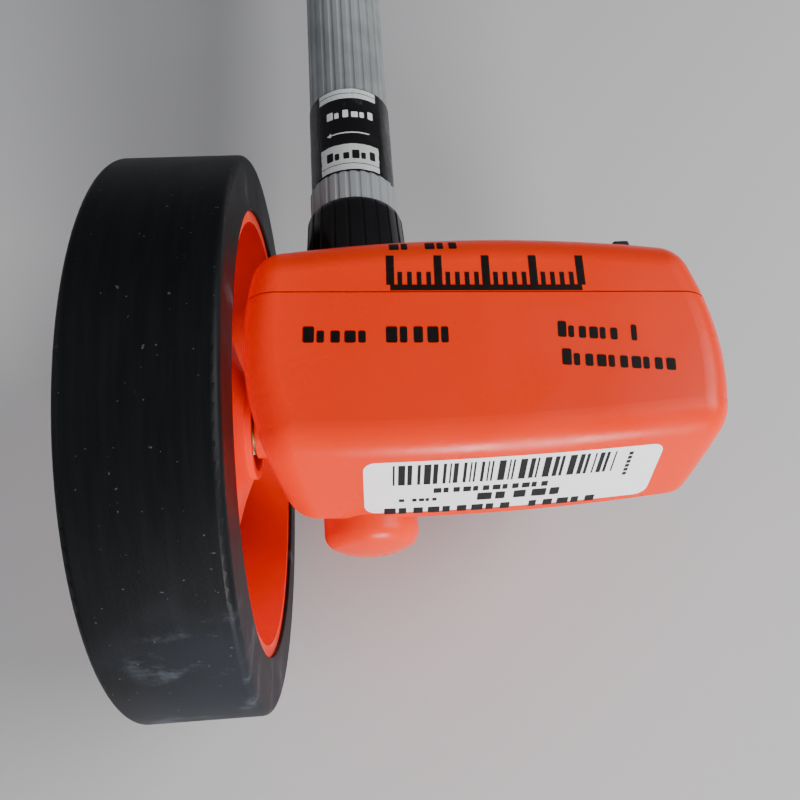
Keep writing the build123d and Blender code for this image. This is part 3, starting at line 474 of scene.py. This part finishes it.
def ruler_mark():
    """Row of ruler ticks on a base line: every fifth tick is longer and wider."""
    (u0, v0), (u1, v1) = RULER_LOW, RULER_HIGH
    outlines = [box_outline(u0, v0, u1, v0 + RULER_BASE)]
    for i in range(RULER_TICKS + 1):
        at = u0 + (u1 - u0) * i / RULER_TICKS
        tall, half = LONG_TICK if i % 5 == 0 else SHORT_TICK
        outlines.append(box_outline(at - half, v0 + RULER_BASE, at + half, v0 + (v1 - v0) * tall))
    return outlines


laid("front_ruler_mark", FRONT, tilted(ruler_mark(), RULER_LOW, RULER_TILT), PRINT_LIFT, PRINT_INK)
for name, rows in FRONT_ROWS.items():
    row_outlines = []
    for *row, degrees in rows:
        row_outlines += tilted(blocks(*row), row[:2], degrees)
    laid(name, FRONT, row_outlines, PRINT_LIFT, PRINT_INK)

# ---- sticker on the sloping lower face -----------------------------------------------------
SLOPE_FOOT = Vector((0, -0.0313, AXLE_Z + 0.012))      # where the slope ends below
SLOPE_TOP = Vector((0, -0.0190, FRONT_Z))              # where the slope meets the front
SLOPE = Patch(SLOPE_FOOT, (1, 0, 0), SLOPE_TOP - SLOPE_FOOT)
STICKER_LIFT, STICKER_INK_LIFT = 0.06 * MM, 0.12 * MM
STICKER, STICKER_CORNER = (0.0437, 0.0026, 0.1226, 0.0244), 0.0032      # (u0, v0, u1, v1) and a radius
STICKER_BARS = (0.0513, 0.1100, 0.0148, 0.0230)                         # u0, u1, v0, v1
BAR_WIDTHS, BAR_GAPS = (0.0005, 0.0012, 0.0004, 0.0018, 0.0008), (0.0009, 0.0006, 0.0014, 0.0010)
STICKER_ROWS = (
    # u, v, step, height, pattern
    (0.0622, 0.0108, 0.00265, 0.0021, "XXXXXXXXXXXX"),
    (0.0530, 0.0074, 0.0018, 0.0017, "x xxxx"),
    (0.0742, 0.0066, 0.0050, 0.0031, "XXXXX"),
    (0.0490, 0.0020, 0.0040, 0.0026, "XXXXXXXXX XXXXX"),
)
COLUMN_BLOCK, COLUMN_STEP, COLUMN_COUNT = (0.1135, 0.0125, 0.1146, 0.0137), 0.0017, 6


def bars(u0, u1, v0, v1):
    """Plain bars of uneven width side by side; they carry no code."""
    outlines, at, i = [], u0, 0
    while at < u1:
        width = BAR_WIDTHS[(i * 3 + i // 4) % len(BAR_WIDTHS)]
        outlines.append(box_outline(at, v0, at + width, v1))
        at += width + BAR_GAPS[(i + i // 3) % len(BAR_GAPS)]
        i += 1
    return outlines


def column():
    """Upright column of small blocks at the sticker's right end."""
    u0, v0, u1, v1 = COLUMN_BLOCK
    return [box_outline(u0, v0 + COLUMN_STEP * i, u1, v1 + COLUMN_STEP * i) for i in range(COLUMN_COUNT)]


sticker_outlines = column()
for row in STICKER_ROWS:
    sticker_outlines += blocks(*row)
laid("paper_sticker", SLOPE, [rounded_outline(*STICKER, STICKER_CORNER)], STICKER_LIFT, PAPER)
laid("sticker_bars", SLOPE, bars(*STICKER_BARS), STICKER_INK_LIFT, LABEL_INK, WIDE_CELL)
laid("sticker_blocks", SLOPE, sticker_outlines, STICKER_INK_LIFT, LABEL_INK, WIDE_CELL)

# ---- prints on the tube's foil -------------------------------------------------------------
FOIL_LIFT = 0.00003
HEAD_HALF = 0.55         # half the width of an arrow's head, of the head's length


def on_tube(u, v):
    """Spot and normal on the foil: u runs round the tube, v along it from the label's lower end."""
    normal = Vector((math.sin(u / LABEL_R), 0, math.cos(u / LABEL_R)))
    return Vector((HANDLE_X, LABEL_LOW.y + v, AXLE_Z)) + normal * (LABEL_R + FOIL_LIFT), normal


def arrow(tail, tip, v, half, head):
    """Straight arrow round the tube, from its tail to a tip at a smaller u."""
    neck = tip + head
    return [box_outline(neck, v - half, tail, v + half),
            [(neck, v - head * HEAD_HALF), (tip, v), (neck, v + head * HEAD_HALF)]]


FOIL_PRINTS = {
    "foil_line_dark": (arrow(tail=0.0065, tip=-0.0085, v=0.0152, half=0.00022, head=0.0016), FOIL_INK),
    "foil_blocks_dark": (blocks(-0.0082, 0.0216, 0.0029, 0.0031, "XxXxxX"), FOIL_INK),
    "foil_blocks_light": (blocks(-0.0088, 0.0046, 0.0030, 0.0034, "XxxXxX"), LABEL_INK),
}
for name, (outlines, material) in FOIL_PRINTS.items():
    wrapped(name, flat_shape(outlines), on_tube, material, "root")

# ---- figures on the counter's drums --------------------------------------------------------
DRUMS, FIGURES = 5, 10
FIGURE_HEIGHT = 5.0 * MM
FIGURE_SIZE = 1.38       # the type's size, of its figures' height
FIGURE_BOLD = 0.00012    # how far the outlines are pushed out
FIGURE_SQUEEZE = 0.92
FIGURE_LIFT, FIGURE_T = 0.00002, 0.00006
DRUM_PITCH, DRUM_W = 8.6 * MM, 6.0 * MM


def figure_shape(figure):
    """Flat bmesh of one figure, centred on its own middle."""
    curve = bpy.data.curves.new("figure", "FONT")
    curve.body, curve.size = str(figure), FIGURE_HEIGHT * FIGURE_SIZE
    curve.offset = FIGURE_BOLD
    obj = bpy.data.objects.new("figure", curve)
    mesh = bpy.data.meshes.new_from_object(obj)
    bpy.data.objects.remove(obj)
    bpy.data.curves.remove(curve)
    bm = bmesh.new()
    bm.from_mesh(mesh)
    bpy.data.meshes.remove(mesh)
    middle = [(min(v.co[k] for v in bm.verts) + max(v.co[k] for v in bm.verts)) / 2 for k in (0, 1)]
    bmesh.ops.translate(bm, verts=bm.verts[:], vec=(-middle[0], -middle[1], 0))
    bmesh.ops.scale(bm, verts=bm.verts[:], vec=(FIGURE_SQUEEZE, 1.0, 1.0))
    return bm


def place_on_drum(middle_x, figure):
    """Gives the function that carries (u, v) onto a drum, at a figure's place on its rim."""
    def on_drum(u, v):
        turn = math.radians(360 / FIGURES * figure) + v / DRUM_R
        normal = Vector((0, math.cos(turn), math.sin(turn)))
        return Vector((middle_x - u, COUNTER_Y, AXLE_Z)) + normal * (DRUM_R + FIGURE_LIFT), normal
    return on_drum


for drum in range(1, DRUMS + 1):
    drum_x = DRUM_LOW.x + (drum - 1) * DRUM_PITCH + DRUM_W / 2
    for figure in range(FIGURES):
        wrapped(f"drum_{drum}_figure_{figure}", figure_shape(figure), place_on_drum(drum_x, figure),
                RED_FIGURE if drum == 1 else WHITE_FIGURE, f"drum_{drum}", FIGURE_T, FIGURE_CELL)

# ---- floor, light and camera ---------------------------------------------------------------
FLOOR_HALF = 3.0
LIGHT_AIM = Vector((0.05, 0.0, 0.08))
WORLD_COLOUR, WORLD_STRENGTH = (0.86, 0.88, 0.93, 1.0), 0.18
# The camera as fitted to the photo: lens and sensor in mm, and its place from the tyre's right face and axle.
CAMERA_LENS, CAMERA_SENSOR, CAMERA_NEAR = 32.36, 36.0, 0.01
CAMERA_LOOK, CAMERA_UP = Vector((0.0625, 0.3440, -0.9369)), Vector((0.0497, 0.9365, 0.3472))
CAMERA_PLACE = (0.0262 + TYRE_HIGH.x, -0.0692, AXLE_Z + 0.2100)

floor_mesh = bpy.data.meshes.new("floor")
bm = bmesh.new()
bmesh.ops.create_grid(bm, x_segments=1, y_segments=1, size=FLOOR_HALF)
bm.to_mesh(floor_mesh)
bm.free()
floor_mesh.materials.append(pale_floor())
floor = add("floor", floor_mesh)
floor.location.z = TYRE_LOW.z


def soft_light(name, place, size, power, colour=(1.0, 1.0, 1.0)):
    """Rectangular lamp that faces the tool."""
    data = bpy.data.lights.new(name, "AREA")
    data.shape = "RECTANGLE"
    data.size, data.size_y = size
    data.energy = power
    data.color = colour
    lamp = add(name, data)
    lamp.location = place
    lamp.rotation_euler = (LIGHT_AIM - Vector(place)).to_track_quat("-Z", "Y").to_euler()


soft_light("key", (0.35, -1.05, 0.42), size=(0.40, 0.28), power=18.0)
soft_light("fill", (-0.8, 0.1, 0.7), size=(0.9, 0.9), power=1.6, colour=(0.95, 0.97, 1.0))
soft_light("top", (0.90, 0.05, 0.85), size=(0.7, 0.7), power=12.5)

world = bpy.data.worlds.new("studio")
world.use_nodes = True
sky = world.node_tree.nodes["Background"].inputs
sky["Color"].default_value, sky["Strength"].default_value = WORLD_COLOUR, WORLD_STRENGTH
bpy.context.scene.world = world

camera_data = bpy.data.cameras.new("camera")
camera_data.lens, camera_data.sensor_width = CAMERA_LENS, CAMERA_SENSOR
camera_data.clip_start = CAMERA_NEAR
look = CAMERA_LOOK.normalized()
right = look.cross(CAMERA_UP).normalized()
turn = Matrix((right, right.cross(look), -look)).transposed().to_4x4()
camera = add("camera", camera_data)
camera.matrix_world = Matrix.Translation(CAMERA_PLACE) @ turn
bpy.context.scene.camera = camera
